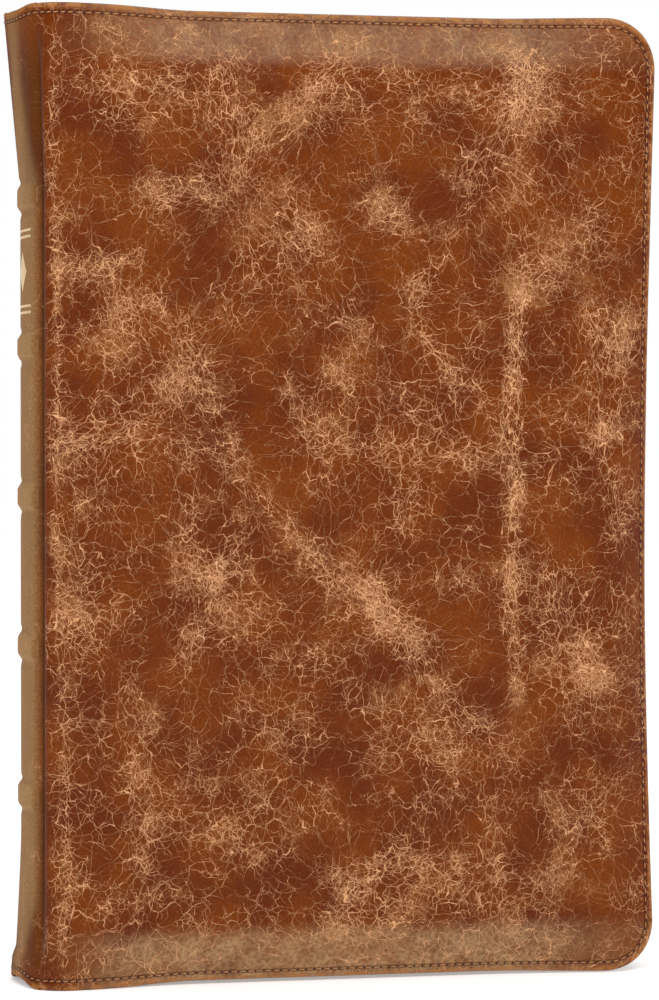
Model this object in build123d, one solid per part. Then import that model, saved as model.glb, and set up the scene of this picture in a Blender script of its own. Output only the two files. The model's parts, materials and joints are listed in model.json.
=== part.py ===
from build123d import *
import math
import os

# A leather-bound bible that stands on its tail edges, as on a shelf.
# +Z runs from tail to head, the front cover faces -Y, the spine is at -X and the fore-edge at +X.
# The origin is the middle of the footprint, on the surface that the book stands on. Millimetres.

# ------------------------------------------------------------------ the sewn book block
page_height = 191.0
page_width = 129.0
page_corner_radius = 8.0
signature_count = 24
signature_thickness = 0.95
flyleaf_thickness = 0.3
spine_radius = 45.6
liner_thickness = 0.5
headband_height = 1.8
headband_depth = 2.4
headband_rounding = 0.6

# ------------------------------------------------------------------ the leather spine
spine_leather_thickness = 0.9
band_count = 5
band_pitch = 33.0
band_width = 5.0
band_rise = 0.8

# ------------------------------------------------------------------ the two covers
head_overhang = 12.0
fore_overhang = 10.5
cover_corner_radius = 12.0
outer_leather_thickness = 0.9
board_thickness = 1.0
lining_thickness = 0.5
lining_margin = 1.1
board_margin = 4.5
edge_rounding = 0.6

# ------------------------------------------------------------------ the edge stitching
thread_width = 0.6
thread_depth = 0.4
thread_inset = 2.2

# ------------------------------------------------------------------ clearances
leaf_clearance = 0.3
joint_clearance = 0.3
pivot_clearance = 0.2
headband_clearance = 0.1

# ------------------------------------------------------------------ worked out from the sizes above
block_half = signature_count * signature_thickness / 2
flyleaf_inner = block_half + leaf_clearance
flyleaf_outer = flyleaf_inner + flyleaf_thickness
cover_inner = flyleaf_outer + leaf_clearance
cover_thickness = outer_leather_thickness + board_thickness + lining_thickness
cover_outer = cover_inner + cover_thickness
cover_height = page_height + 2 * head_overhang
page_tail = head_overhang
page_head = page_tail + page_height
knuckle_radius = cover_thickness / 2
hinge_y = cover_inner + knuckle_radius
spine_half = cover_inner - joint_clearance
leather_inner_radius = spine_radius + liner_thickness
leather_outer_radius = leather_inner_radius + spine_leather_thickness
ridge_radius = leather_outer_radius + band_rise


def arc_x(radius, y):
    """How far the spine's arc of this radius stands from its centre line at y."""
    return math.sqrt(radius**2 - y**2)


fore_edge_reach = page_width - arc_x(spine_radius, block_half) + fore_overhang
spine_centre_x = (ridge_radius - fore_edge_reach) / 2
cover_edge_x = spine_centre_x + fore_edge_reach
hinge_x = spine_centre_x - (arc_x(leather_outer_radius, spine_half) - knuckle_radius)
opening_axis_x = spine_centre_x - ridge_radius - pivot_clearance
flyleaf_hinge_x = hinge_x + 2 * knuckle_radius
flyleaf_edge_x = spine_centre_x - arc_x(spine_radius, block_half) + page_width


def slab(outline, bottom, top):
    """A solid between two heights above a flat outline that lies in the XY plane."""
    return Pos(0, 0, bottom) * extrude(outline, top - bottom)


def side_of(half):
    """-1 for the front half of the book, +1 for the rear half."""
    return -1 if half == "front" else 1


def half_box(half, width_y):
    """A block that holds one half of the spine, from the middle plane out to width_y."""
    reach = 2 * ridge_radius
    height = 2 * cover_height
    middle = side_of(half) * width_y / 2
    return Pos(spine_centre_x - reach / 2, middle, 0) * Box(reach, width_y, height)


def spine_wall(half, inner_radius, outer_radius, bottom, top, width_y):
    """One half of a curved wall that follows the rounded back of the block."""
    ring = Circle(outer_radius) - Circle(inner_radius)
    wall = slab(Pos(spine_centre_x, 0, 0) * ring, bottom, top)
    return wall & half_box(half, width_y)


def page_corners(leaf):
    """The two fore-edge corners of a leaf or a gathering, as edges across its thickness."""
    across = leaf.edges().filter_by(Axis.Y)
    return across.group_by(Axis.X)[-1]


def signature(y_front, y_rear):
    """One folded gathering of pages, its fold on the rounded back."""
    y_middle = (y_front + y_rear) / 2
    folds = [
        (spine_centre_x - arc_x(spine_radius, y), y)
        for y in (y_front, y_middle, y_rear)
    ]
    fore_x = folds[1][0] + page_width
    fold = ThreePointArc(*folds)
    edges = Polyline(folds[2], (fore_x, y_rear), (fore_x, y_front), folds[0])
    block = slab(make_face([fold, edges]), page_tail, page_head)
    return fillet(page_corners(block), page_corner_radius)


def flyleaf(half):
    """The free endpaper, with a rounded edge where it turns beside the joint."""
    side = side_of(half)
    leaf_y = side * (flyleaf_inner + flyleaf_outer) / 2
    length = flyleaf_edge_x - flyleaf_hinge_x
    middle_x = (flyleaf_edge_x + flyleaf_hinge_x) / 2
    middle_z = (page_tail + page_head) / 2
    leaf = Pos(middle_x, leaf_y, middle_z) * Box(length, flyleaf_thickness, page_height)
    leaf = fillet(page_corners(leaf), page_corner_radius)
    turning_edge = slab(Pos(flyleaf_hinge_x, leaf_y) * Circle(flyleaf_thickness / 2), page_tail, page_head)
    return leaf + turning_edge


def headband(half, bottom):
    """Half of the sewn band that closes the back of the block at one end."""
    inner = spine_radius - headband_depth
    band = spine_wall(half, inner, leather_inner_radius, bottom, bottom + headband_height, block_half)
    crown = band.edges().filter_by(GeomType.CIRCLE).group_by(Axis.Z)[-1].sort_by(SortBy.RADIUS)[0]
    return fillet(crown, min(headband_rounding, 0.45 * headband_height))


def band_heights():
    """The middle of each raised band, evenly spaced about the middle of the spine."""
    first = cover_height / 2 - (band_count - 1) * band_pitch / 2
    return [first + index * band_pitch for index in range(band_count)]


def raised_band(half, middle):
    """Half of one raised band, which lies on the liner under the leather."""
    low = middle - band_width / 2
    high = middle + band_width / 2
    outer = leather_inner_radius + band_rise
    return spine_wall(half, leather_inner_radius, outer, low, high, spine_half)


def spine_thread(half, middle):
    """Half of the stitch line that crosses the spine near its head or tail."""
    low = middle - thread_width / 2
    high = middle + thread_width / 2
    inner = leather_outer_radius - thread_depth
    return spine_wall(half, inner, leather_outer_radius, low, high, spine_half)


def spine_thread_heights():
    """Where the stitch line crosses the spine: near the tail and near the head."""
    return [thread_inset, cover_height - thread_inset]


def spine_leather(half):
    """Half of the leather that wraps the spine, moulded over the raised bands."""
    leather = spine_wall(half, leather_inner_radius, leather_outer_radius, 0, cover_height, spine_half)
    for middle in band_heights():
        low = middle - band_width / 2 - spine_leather_thickness
        high = middle + band_width / 2 + spine_leather_thickness
        leather += spine_wall(half, leather_inner_radius, ridge_radius, low, high, spine_half)
        leather -= raised_band(half, middle)
    for middle in spine_thread_heights():
        leather -= spine_thread(half, middle)
    return leather


def cover_outline(margin):
    """A cover seen square on, drawn in the XZ plane, brought in by a margin on its three free sides."""
    left = hinge_x + (2 * knuckle_radius if margin > 0 else 0)
    right = cover_edge_x - margin
    width = right - left
    height = cover_height - 2 * margin
    radius = cover_corner_radius - margin
    sheet = Pos((left + right) / 2, cover_height / 2) * Rectangle(width, height)
    return fillet(sheet.vertices().group_by(Axis.X)[-1], radius)


def cover_layer(half, margin, inner, outer):
    """One flat layer of a cover, between two distances from the middle plane of the book."""
    side = side_of(half)
    standing = Plane(origin=(0, side * inner, 0), x_dir=(1, 0, 0), z_dir=(0, -1, 0))
    return extrude(standing * cover_outline(margin), (outer - inner) * -side)


def cover_lining(half):
    """The thin leather that lines the inside of a cover."""
    return cover_layer(half, lining_margin, cover_inner, cover_inner + lining_thickness)


def cover_board(half):
    """The flexible board sealed between the lining and the outer leather."""
    low = cover_inner + lining_thickness
    return cover_layer(half, board_margin, low, low + board_thickness)


def cover_thread(half):
    """The stitch line along the head, fore-edge and tail of a cover."""
    low = cover_outer - thread_depth
    outside = cover_layer(half, thread_inset - thread_width / 2, low, cover_outer)
    inside = cover_layer(half, thread_inset + thread_width / 2, low, cover_outer)
    return outside - inside


def cover_leather(half):
    """The outer leather of a cover, turned in round its edges and rounded where it hinges."""
    side = side_of(half)
    leather = cover_layer(half, 0, cover_inner, cover_outer)
    rim = leather.edges().filter_by(lambda edge: abs(edge.center().Y) > hinge_y)
    rim = rim.filter_by(lambda edge: edge.center().X > hinge_x + knuckle_radius)
    leather = fillet(rim, edge_rounding)
    leather += slab(Pos(hinge_x, side * hinge_y) * Circle(knuckle_radius), 0, cover_height)
    return leather - cover_lining(half) - cover_board(half) - cover_thread(half)


def save(name, shape):
    """Write one named piece."""
    export_step(shape, os.path.join("parts", name + ".step"))


def build_block():
    """The gatherings, numbered from the front cover to the back."""
    for index in range(signature_count):
        y_front = index * signature_thickness - block_half
        save(f"signature_{index + 1:02d}", signature(y_front, y_front + signature_thickness))


def build_spine(half):
    """Everything on one half of the spine."""
    save(f"spine_liner_{half}",
         spine_wall(half, spine_radius, leather_inner_radius, page_tail, page_head, block_half))
    save(f"headband_head_{half}", headband(half, page_head + headband_clearance))
    save(f"headband_tail_{half}",
         mirror(headband(half, page_head + headband_clearance), Plane.XY.offset(cover_height / 2)))
    for number, middle in enumerate(band_heights(), start=1):
        save(f"raised_band_{number}_{half}", raised_band(half, middle))
    save(f"spine_leather_{half}", spine_leather(half))
    save(f"spine_stitching_{half}",
         Compound(children=[spine_thread(half, middle) for middle in spine_thread_heights()]))


def build_cover(half, name):
    """Everything that swings with one cover, and the free endpaper beside it."""
    save(f"{name}_cover_leather", cover_leather(half))
    save(f"{name}_cover_board", cover_board(half))
    save(f"{name}_cover_lining", cover_lining(half))
    save(f"{name}_cover_stitching", cover_thread(half))
    save(f"{name}_flyleaf", flyleaf(half))


os.makedirs("parts", exist_ok=True)
build_block()
build_spine("front")
build_spine("rear")
build_cover("front", "front")
build_cover("rear", "back")
print("cover", cover_height, "by", round(cover_edge_x - hinge_x, 1), "thickness", round(2 * cover_outer, 1))
print("opening axis x", round(opening_axis_x, 3))
print("cover hinge x, y", round(hinge_x, 3), round(hinge_y, 3))
print("flyleaf hinge x, y", round(flyleaf_hinge_x, 3), round((flyleaf_inner + flyleaf_outer) / 2, 3))
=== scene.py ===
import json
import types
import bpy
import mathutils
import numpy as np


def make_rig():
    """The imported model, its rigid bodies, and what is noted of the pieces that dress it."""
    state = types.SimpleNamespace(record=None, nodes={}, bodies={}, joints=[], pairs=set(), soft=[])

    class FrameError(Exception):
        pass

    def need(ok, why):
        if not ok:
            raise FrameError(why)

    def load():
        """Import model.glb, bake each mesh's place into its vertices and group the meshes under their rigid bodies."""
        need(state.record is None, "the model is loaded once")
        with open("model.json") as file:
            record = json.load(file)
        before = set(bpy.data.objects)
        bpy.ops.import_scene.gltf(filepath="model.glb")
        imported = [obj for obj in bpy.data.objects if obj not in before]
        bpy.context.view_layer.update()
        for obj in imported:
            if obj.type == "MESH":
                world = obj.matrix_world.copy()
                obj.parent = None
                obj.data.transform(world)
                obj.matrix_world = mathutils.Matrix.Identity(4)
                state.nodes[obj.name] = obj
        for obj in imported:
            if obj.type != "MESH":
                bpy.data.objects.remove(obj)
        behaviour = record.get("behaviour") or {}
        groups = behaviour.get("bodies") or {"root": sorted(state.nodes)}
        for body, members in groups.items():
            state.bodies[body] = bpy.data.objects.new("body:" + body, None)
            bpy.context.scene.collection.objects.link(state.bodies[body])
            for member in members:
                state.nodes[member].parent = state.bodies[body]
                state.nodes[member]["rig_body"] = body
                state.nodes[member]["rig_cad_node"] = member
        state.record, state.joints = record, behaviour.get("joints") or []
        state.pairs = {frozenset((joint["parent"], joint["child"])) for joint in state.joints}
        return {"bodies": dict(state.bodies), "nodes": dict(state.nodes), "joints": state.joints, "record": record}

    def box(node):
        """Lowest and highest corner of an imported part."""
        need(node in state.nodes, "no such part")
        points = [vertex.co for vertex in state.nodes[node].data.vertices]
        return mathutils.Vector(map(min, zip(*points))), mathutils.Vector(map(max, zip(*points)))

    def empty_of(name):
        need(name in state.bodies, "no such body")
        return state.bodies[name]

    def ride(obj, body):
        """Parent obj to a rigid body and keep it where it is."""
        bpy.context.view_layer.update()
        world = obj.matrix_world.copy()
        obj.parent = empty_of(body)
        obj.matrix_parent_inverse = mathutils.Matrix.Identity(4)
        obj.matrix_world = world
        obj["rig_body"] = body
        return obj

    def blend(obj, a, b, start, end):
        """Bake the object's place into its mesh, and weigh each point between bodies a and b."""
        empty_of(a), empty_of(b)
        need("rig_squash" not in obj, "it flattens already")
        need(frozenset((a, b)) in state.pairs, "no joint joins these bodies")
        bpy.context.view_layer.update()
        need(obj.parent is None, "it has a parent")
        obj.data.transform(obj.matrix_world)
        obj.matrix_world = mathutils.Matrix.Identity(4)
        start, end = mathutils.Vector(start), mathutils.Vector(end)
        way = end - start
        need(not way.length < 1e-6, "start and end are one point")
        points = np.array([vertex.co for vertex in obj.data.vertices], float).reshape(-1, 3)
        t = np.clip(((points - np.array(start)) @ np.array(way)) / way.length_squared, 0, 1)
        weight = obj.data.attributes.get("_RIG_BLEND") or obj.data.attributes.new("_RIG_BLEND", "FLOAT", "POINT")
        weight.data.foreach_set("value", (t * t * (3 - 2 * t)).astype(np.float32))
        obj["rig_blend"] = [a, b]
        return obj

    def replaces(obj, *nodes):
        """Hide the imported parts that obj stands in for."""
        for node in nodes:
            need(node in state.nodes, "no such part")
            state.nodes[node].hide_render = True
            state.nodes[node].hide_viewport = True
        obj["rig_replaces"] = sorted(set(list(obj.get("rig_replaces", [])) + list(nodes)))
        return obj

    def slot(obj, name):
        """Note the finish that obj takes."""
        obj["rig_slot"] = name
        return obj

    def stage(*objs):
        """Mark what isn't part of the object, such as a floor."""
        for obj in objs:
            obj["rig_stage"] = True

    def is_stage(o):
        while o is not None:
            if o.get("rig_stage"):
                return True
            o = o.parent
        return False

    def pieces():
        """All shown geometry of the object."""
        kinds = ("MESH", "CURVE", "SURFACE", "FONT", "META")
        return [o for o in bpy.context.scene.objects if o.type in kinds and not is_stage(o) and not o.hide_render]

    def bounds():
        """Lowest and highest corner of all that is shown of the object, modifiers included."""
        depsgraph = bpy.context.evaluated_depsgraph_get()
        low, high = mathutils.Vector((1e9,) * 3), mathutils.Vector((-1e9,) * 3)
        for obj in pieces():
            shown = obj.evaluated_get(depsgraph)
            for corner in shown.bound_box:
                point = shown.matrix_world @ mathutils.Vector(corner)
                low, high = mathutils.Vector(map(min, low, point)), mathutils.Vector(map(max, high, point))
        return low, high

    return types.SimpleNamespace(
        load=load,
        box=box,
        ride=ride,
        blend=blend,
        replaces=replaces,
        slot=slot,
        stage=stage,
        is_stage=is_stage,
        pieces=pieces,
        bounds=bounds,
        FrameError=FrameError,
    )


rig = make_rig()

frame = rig.load()

import json
import math

import bpy
import numpy as np
from bpy.props import FloatProperty, FloatVectorProperty, IntProperty, PointerProperty
from mathutils import Vector, noise

bl_info = {
    "name": "Leather Bible",
    "version": (1, 0, 0),
    "blender": (4, 5, 0),
    "location": "3D View > Sidebar > Bible",
    "description": "Dresses a bible in crackled leather, edge stitching, gilt pages and a plain stage",
    "category": "Object",
}

SIZE_FILE = "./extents.json"
CAD_LOW, CAD_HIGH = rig.bounds()
MM = 0.001

# ------------------------------------------------------------------ places read from the frame
JOINTS = {joint["name"]: joint for joint in frame["joints"]}
HINGE = Vector(JOINTS["front_cover_hinge"]["pos_m"])
COVER_LOW, COVER_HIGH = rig.box("front_cover_leather")
LINING_LOW, LINING_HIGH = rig.box("front_cover_lining")
BOARD_LOW, BOARD_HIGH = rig.box("front_cover_board")
LINER_LOW, LINER_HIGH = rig.box("spine_liner_front")
SPINE_LOW, SPINE_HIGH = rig.box("spine_leather_front")
THREAD_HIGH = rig.box("front_cover_stitching")[1]
FLYLEAF_LOW, FLYLEAF_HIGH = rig.box("front_flyleaf")

COVER_HEIGHT = COVER_HIGH.z - COVER_LOW.z
COVER_WIDTH = COVER_HIGH.x - HINGE.x
COVER_THICKNESS = COVER_HIGH.y - COVER_LOW.y
LINING_THICKNESS = LINING_HIGH.y - LINING_LOW.y
BOARD_THICKNESS = BOARD_HIGH.y - BOARD_LOW.y
LINING_MARGIN = COVER_HIGH.x - LINING_HIGH.x
BOARD_MARGIN = COVER_HIGH.x - BOARD_HIGH.x
HEAD_OVERHANG = FLYLEAF_LOW.z - COVER_LOW.z
FORE_OVERHANG = COVER_HIGH.x - FLYLEAF_HIGH.x
HALF_THREAD = 0.3 * MM
STITCH_INSET = (COVER_HIGH.x - THREAD_HIGH.x) + HALF_THREAD
BANDS = [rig.box(f"raised_band_{number}_front") for number in range(1, 6)]
BAND_MIDDLES = [(low.z + high.z) / 2 for low, high in BANDS]
BAND_HALF = (BANDS[0][1].z - BANDS[0][0].z) / 2
BAND_RISE = LINER_LOW.x - BANDS[0][0].x
SPINE_LEATHER = LINER_LOW.x - BAND_RISE - SPINE_LOW.x
SPINE_RADIUS = 47.0 * MM
SPINE_CENTRE = LINER_LOW.x - SPINE_LEATHER + SPINE_RADIUS
SPINE_HALF = SPINE_RADIUS * math.asin(SPINE_LOW.y / -SPINE_RADIUS)
JOINT_LENGTH = 5.0 * MM
FLAT_START = 1.5 * MM

# The bottom of the sharp groove from the hinge line, on the leather's outer and inner face.
GROOVE_OUTER = Vector((0.40, -1.66)) * MM
GROOVE_INNER = Vector((0.95, -1.50)) * MM
SHEET_WIDTH = JOINT_LENGTH + COVER_WIDTH - FLAT_START

# The round shoulder starts on the spine's arc and ends flush with the cover's face.
SHOULDER_START = 7.5 * MM
SHOULDER_TILT = SHOULDER_START / SPINE_RADIUS
SHOULDER_RADIUS = ((-HINGE.y + COVER_THICKNESS / 2 - SPINE_RADIUS * math.sin(SHOULDER_TILT))
                   / (1.0 - math.sin(SHOULDER_TILT)))
SHOULDER_X = SPINE_CENTRE - (SPINE_RADIUS - SHOULDER_RADIUS) * math.cos(SHOULDER_TILT)
SHOULDER_Y = (SPINE_RADIUS - SHOULDER_RADIUS) * math.sin(SHOULDER_TILT)


def size_setting(name, description, default, low=0.0):
    """A length that the sidebar can change."""
    return FloatProperty(name=name, description=description, default=default, min=low, subtype="DISTANCE")


def colour_setting(name, description, default):
    """A colour that the sidebar can change."""
    return FloatVectorProperty(name=name, description=description, default=default, subtype="COLOR",
                               min=0.0, max=1.0)


class BibleShape(bpy.types.PropertyGroup):
    """How the soft leather hangs away from the flat construction."""

    head_bend: size_setting(
        "Head bend", "How far the overhang at head and tail leans inwards", 4.2 * MM)
    fore_bend: size_setting(
        "Fore-edge bend", "How far the overhang at the fore-edge leans inwards", 5.6 * MM)
    head_flare: size_setting(
        "Head flare", "How far the spine leather stands out at the head", 3.9 * MM)
    tail_flare: size_setting(
        "Tail flare", "How far the spine leather stands out at the tail", 1.7 * MM)
    corner: size_setting(
        "Corner radius", "Radius of the covers' fore-edge corners", 12.0 * MM)
    stitch_pitch: size_setting(
        "Stitch pitch", "Distance from one stitch to the next", 1.9 * MM, 0.5 * MM)
    leaves: IntProperty(
        name="Leaves", description="Leaves modelled in each gathering", default=8, min=2, max=16)


class BibleColours(bpy.types.PropertyGroup):
    """The colours of the leather, thread, pages and gilding."""

    leather: colour_setting(
        "Leather", "The smooth leather between the creases", (0.162, 0.032, 0.0))
    leather_dark: colour_setting(
        "Dark leather", "The deepest tone of the leather", (0.108, 0.016, 0.0))
    crease: colour_setting(
        "Crease", "The pale crackle where the leather was pulled", (0.75, 0.375, 0.18))
    spine: colour_setting(
        "Spine", "The rubbed tan leather of the spine", (0.325, 0.178, 0.066))
    # Dustiness on the bent overhang; the same grey also paints the sheen that light would give there.
    dust: colour_setting(
        "Dust", "The greyed bloom on the bent edges", (0.43, 0.265, 0.125))
    # The orange tone of wear on torn leather; along the free edges it is also a painted highlight.
    worn: colour_setting(
        "Worn edge", "The orange tone of worn edges", (0.42, 0.165, 0.040))
    lining: colour_setting(
        "Lining", "The leather inside the covers", (0.085, 0.030, 0.014))
    thread: colour_setting(
        "Thread", "The waxed thread of the edge stitching", (0.52, 0.235, 0.085))
    page: colour_setting(
        "Page", "The paper of the pages", (0.83, 0.78, 0.66))
    gilt: colour_setting(
        "Gilt", "The gold on the page edges and the spine", (0.86, 0.60, 0.24))


# ------------------------------------------------------------------ small sums
def smooth(value, low, high):
    """0 below low, 1 above high and an easy turn between them."""
    share = min(1.0, max(0.0, (value - low) / (high - low)))
    return share * share * (3.0 - 2.0 * share)


def mix(first, second, share):
    """A value or a point between two others."""
    return first * (1.0 - share) + second * share


def bezier(points, share):
    """A point on the curve of four control points."""
    back = 1.0 - share
    return (points[0] * back**3 + points[1] * (3 * back**2 * share)
            + points[2] * (3 * back * share**2) + points[3] * share**3)


def shape():
    """The sizes in the sidebar."""
    return bpy.context.scene.bible_shape


def colours():
    """The colours in the sidebar."""
    return bpy.context.scene.bible_colours


# ------------------------------------------------------------------ where the leather lies
# How far from the head and the tail the spine starts to stand out, and how far past the spine.
HEAD_FLARE_REACH = 40 * MM
TAIL_FLARE_REACH = 34 * MM
FLARE_FADE = 24 * MM
# How much further the turned-in leather stands out at the very tail.
TAIL_TURN_IN = 0.8 * MM
# The groove beside the spine grows sharp between these distances from head or tail: part of it
# within the fast one, and the rest within the slow one.
GROOVE_START = 3 * MM
GROOVE_FAST = 15 * MM
GROOVE_SLOW = 34 * MM
# How far the middle of the spine sinks at the tail and at the head, and how far that reaches.
TAIL_DIP = 1.5 * MM
HEAD_DIP = 0.8 * MM
DIP_REACH = 10 * MM


def to_end(height):
    """Distance of a height from the nearer end of the book."""
    return min(height, COVER_HEIGHT - height)


def flare(along, height):
    """How far the leather stands out behind the spine; along runs from the front cover to the back."""
    head = max(0.0, 1.0 - (COVER_HEIGHT - height) / HEAD_FLARE_REACH)
    tail = max(0.0, 1.0 - height / TAIL_FLARE_REACH) ** 1.3
    turned_in = TAIL_TURN_IN * (1.0 - smooth(height, 4.5 * MM, 8.0 * MM))
    amount = shape().head_flare * head + shape().tail_flare * tail + turned_in
    share = mix(0.35, 1.0, smooth(along, -SPINE_HALF, SPINE_HALF))
    fade = 1.0 - smooth(abs(along) - SPINE_HALF, 0.0, FLARE_FADE)
    return amount * share * fade


def opening_share(height):
    """1 where the groove beside the spine is sharp, 0 where it has run out at head and tail."""
    fast = smooth(to_end(height), GROOVE_START, GROOVE_FAST)
    slow = smooth(to_end(height), GROOVE_START, GROOVE_SLOW)
    return mix(fast, slow, 0.45)


def shoulder(turn, depth):
    """A point of the round shoulder that joins spine and cover at the ends; y points outwards."""
    radius = SHOULDER_RADIUS - depth
    x = SHOULDER_X - radius * math.cos(turn)
    y = SHOULDER_Y + radius * math.sin(turn)
    return Vector((x, y))


def open_groove(depth):
    """The bottom of the groove where it is sharp; y points outwards."""
    outer = Vector((HINGE.x, -HINGE.y)) + GROOVE_OUTER
    inner = Vector((HINGE.x, -HINGE.y)) + GROOVE_INNER
    return mix(outer, inner, min(1.0, depth / SPINE_LEATHER))


def band_rise(height, along):
    """How far the leather stands out over the raised bands, and dips beside them."""
    fade = 1.0 - smooth(abs(along), SPINE_HALF - 2.2 * MM, SPINE_HALF)
    rise = 0.0
    for middle in BAND_MIDDLES:
        away = abs(height - middle)
        rise += (BAND_RISE - 0.1 * MM) * (1.0 - smooth(away, BAND_HALF - 0.9 * MM, BAND_HALF + 0.6 * MM))
        rise -= 0.28 * MM * math.exp(-((away - BAND_HALF - 1.0 * MM) / (0.7 * MM)) ** 2)
    return rise * fade


def ripple(along, height):
    """The soft unevenness of hand-worked leather."""
    broad = noise.noise(Vector((along / 0.034, height / 0.034, 3.1)))
    fine = noise.noise(Vector((along / 0.011, height / 0.011, 8.7)))
    return (0.16 * broad + 0.05 * fine) * MM


def spine_place(along, height, depth):
    """A point of the spine: along its arc, up its height and down into the leather."""
    side = 1 if along > 0 else -1
    angle = abs(along) / SPINE_RADIUS
    radius = SPINE_RADIUS + band_rise(height, along) - depth
    arc = Vector((SPINE_CENTRE - radius * math.cos(angle), radius * math.sin(angle)))
    sharp = mix(arc, open_groove(depth), smooth(abs(along), SPINE_HALF - 3.2 * MM, SPINE_HALF))
    turned = arc
    if abs(along) > SHOULDER_START:
        turned = shoulder(SHOULDER_TILT + (abs(along) - SHOULDER_START) / SHOULDER_RADIUS, depth)
    point = mix(turned, sharp, opening_share(height))
    return Vector((point.x - flare(along, height), side * point.y, height + cap_dip(along, height)))


def cap_dip(along, height):
    """How far the leather's ends sink in the middle of the spine, at head and tail."""
    hollow = 1.0 - smooth(abs(along), 2.0 * MM, SPINE_HALF)
    low = TAIL_DIP * (1.0 - smooth(height, 0.0, DIP_REACH))
    high = HEAD_DIP * (1.0 - smooth(COVER_HEIGHT - height, 0.0, DIP_REACH))
    return hollow * (low - high)


def overhang_bend(reach, height):
    """How far a cover leans inwards where nothing backs it, and how steeply."""
    near_spine = smooth(reach, 4 * MM, 34 * MM)
    near_corner = 1.0 - 0.55 * smooth(reach, COVER_WIDTH - 40 * MM, COVER_WIDTH - 4 * MM)
    middle = math.sin(math.pi * min(1.0, max(0.0, height / COVER_HEIGHT)) ** 0.88)
    head_share = max(0.0, 1.0 - to_end(height) / (HEAD_OVERHANG + 1.0 * MM))
    fore_share = max(0.0, 1.0 - (COVER_WIDTH - reach) / (FORE_OVERHANG + 1.0 * MM))
    head = shape().head_bend * near_spine * near_corner * head_share ** 1.15
    fore = shape().fore_bend * mix(0.34, 1.0, middle) * fore_share ** 1.2
    return head, fore


def sharp_joint(along, depth):
    """The joint of a cover beside the sharp groove, as x and y from the hinge; y points outwards."""
    half = COVER_THICKNESS / 2
    share = min(1.0, along / JOINT_LENGTH)
    outer_pull = (Vector((-0.4, -0.7)) * MM, Vector((-0.35, 1.2)) * MM)
    inner_pull = (Vector((1.1, -1.4)) * MM, Vector((1.25, -1.2)) * MM)
    outer = bezier((GROOVE_OUTER, *outer_pull, Vector((FLAT_START, half))), share)
    inner = bezier((GROOVE_INNER, *inner_pull, Vector((FLAT_START, -half))), share)
    point = mix(outer, inner, depth / COVER_THICKNESS)
    point.x += max(0.0, along - JOINT_LENGTH)
    return point


def round_joint(along, depth):
    """The joint of a cover where it is one round shoulder with the spine."""
    start_turn = SHOULDER_TILT + (SPINE_HALF - SHOULDER_START) / SHOULDER_RADIUS
    length = JOINT_LENGTH - FLAT_START + SHOULDER_X - HINGE.x
    share = min(1.0, along / length)
    point = shoulder(mix(start_turn, math.pi / 2, share), depth) - Vector((HINGE.x, -HINGE.y))
    point.x += max(0.0, along - length)
    return point


def cover_place(side, along, height, depth):
    """A point of a cover: away from its crease, up its height and in from its outer face."""
    point = mix(round_joint(along, depth), sharp_joint(along, depth), opening_share(height))
    reach = point.x
    head, fore = overhang_bend(reach, height)
    inwards = math.hypot(head, fore)
    up = -1.0 if height > COVER_HEIGHT / 2 else 1.0
    height_shift = up * head * head / HEAD_OVERHANG / 2
    reach_shift = fore * fore / FORE_OVERHANG / 2
    lift = ripple(side * along, height) * smooth(along, 3 * MM, 9 * MM)
    x = HINGE.x + reach - reach_shift - flare(side * (SPINE_HALF + along), height)
    y = -HINGE.y + point.y - inwards + lift
    return Vector((x, side * y, height + height_shift))


# ------------------------------------------------------------------ building blocks
def start_clean():
    """Nothing is selected, so the next operator acts on its own piece only."""
    if bpy.context.object and bpy.context.object.mode != "OBJECT":
        bpy.ops.object.mode_set(mode="OBJECT")
    bpy.ops.object.select_all(action="DESELECT")


def finish_modifiers(piece):
    """Apply every modifier of a piece, in order."""
    bpy.context.view_layer.objects.active = piece
    for modifier in list(piece.modifiers):
        bpy.ops.object.modifier_apply(modifier=modifier.name)


def crowd(share, amount):
    """Draw the lines of a grid together towards its ends."""
    return share - amount * math.sin(2 * math.pi * share) / (2 * math.pi)


def round_corner(reach, height, width, total, radius):
    """Carry the two outer corners of a grid onto their arcs."""
    from_side = max(0.0, reach - (width - radius)) / radius
    up = 1.0 if height > total / 2 else -1.0
    past = height - (total - radius) if up > 0 else radius - height
    from_end = max(0.0, past) / radius
    if from_side <= 0.0 or from_end <= 0.0:
        return reach, height
    new_side = from_side * math.sqrt(1.0 - from_end**2 / 2)
    new_end = from_end * math.sqrt(1.0 - from_side**2 / 2)
    new_height = total - radius + new_end * radius if up > 0 else radius - new_end * radius
    return width - radius + new_side * radius, new_height


def edge_distance(reach, height, width, total, radius):
    """Distance from a point of a sheet to its head, fore or tail edge."""
    past_side = reach - (width - radius)
    past_end = max(height - (total - radius), radius - height)
    if past_side > 0.0 and past_end > 0.0:
        return radius - math.hypot(past_side, past_end)
    return min(width - reach, height, total - height)


def sheet_block(name, width, height, thickness, columns, rows, corner=0.0, ends=0.75):
    """A flat sheet with rounded outer corners and thickness; x is width, y is height and -z is depth."""
    start_clean()
    bpy.ops.mesh.primitive_grid_add(x_subdivisions=columns, y_subdivisions=rows, size=1.0,
                                    location=(0.5, 0.5, 0.0))
    block = bpy.context.object
    block.name = name
    bpy.ops.object.transform_apply(location=True, rotation=False, scale=False)
    for vertex in block.data.vertices:
        reach = crowd(vertex.co.x, ends) * width
        up = crowd(vertex.co.y, ends) * height
        if corner > 0.0:
            reach, up = round_corner(reach, up, width, height, corner)
        vertex.co = (reach, up, 0.0)
    wall = block.modifiers.new("Thickness", "SOLIDIFY")
    wall.thickness = thickness
    wall.offset = -1.0
    finish_modifiers(block)
    bpy.ops.object.shade_smooth()
    return block


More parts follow.
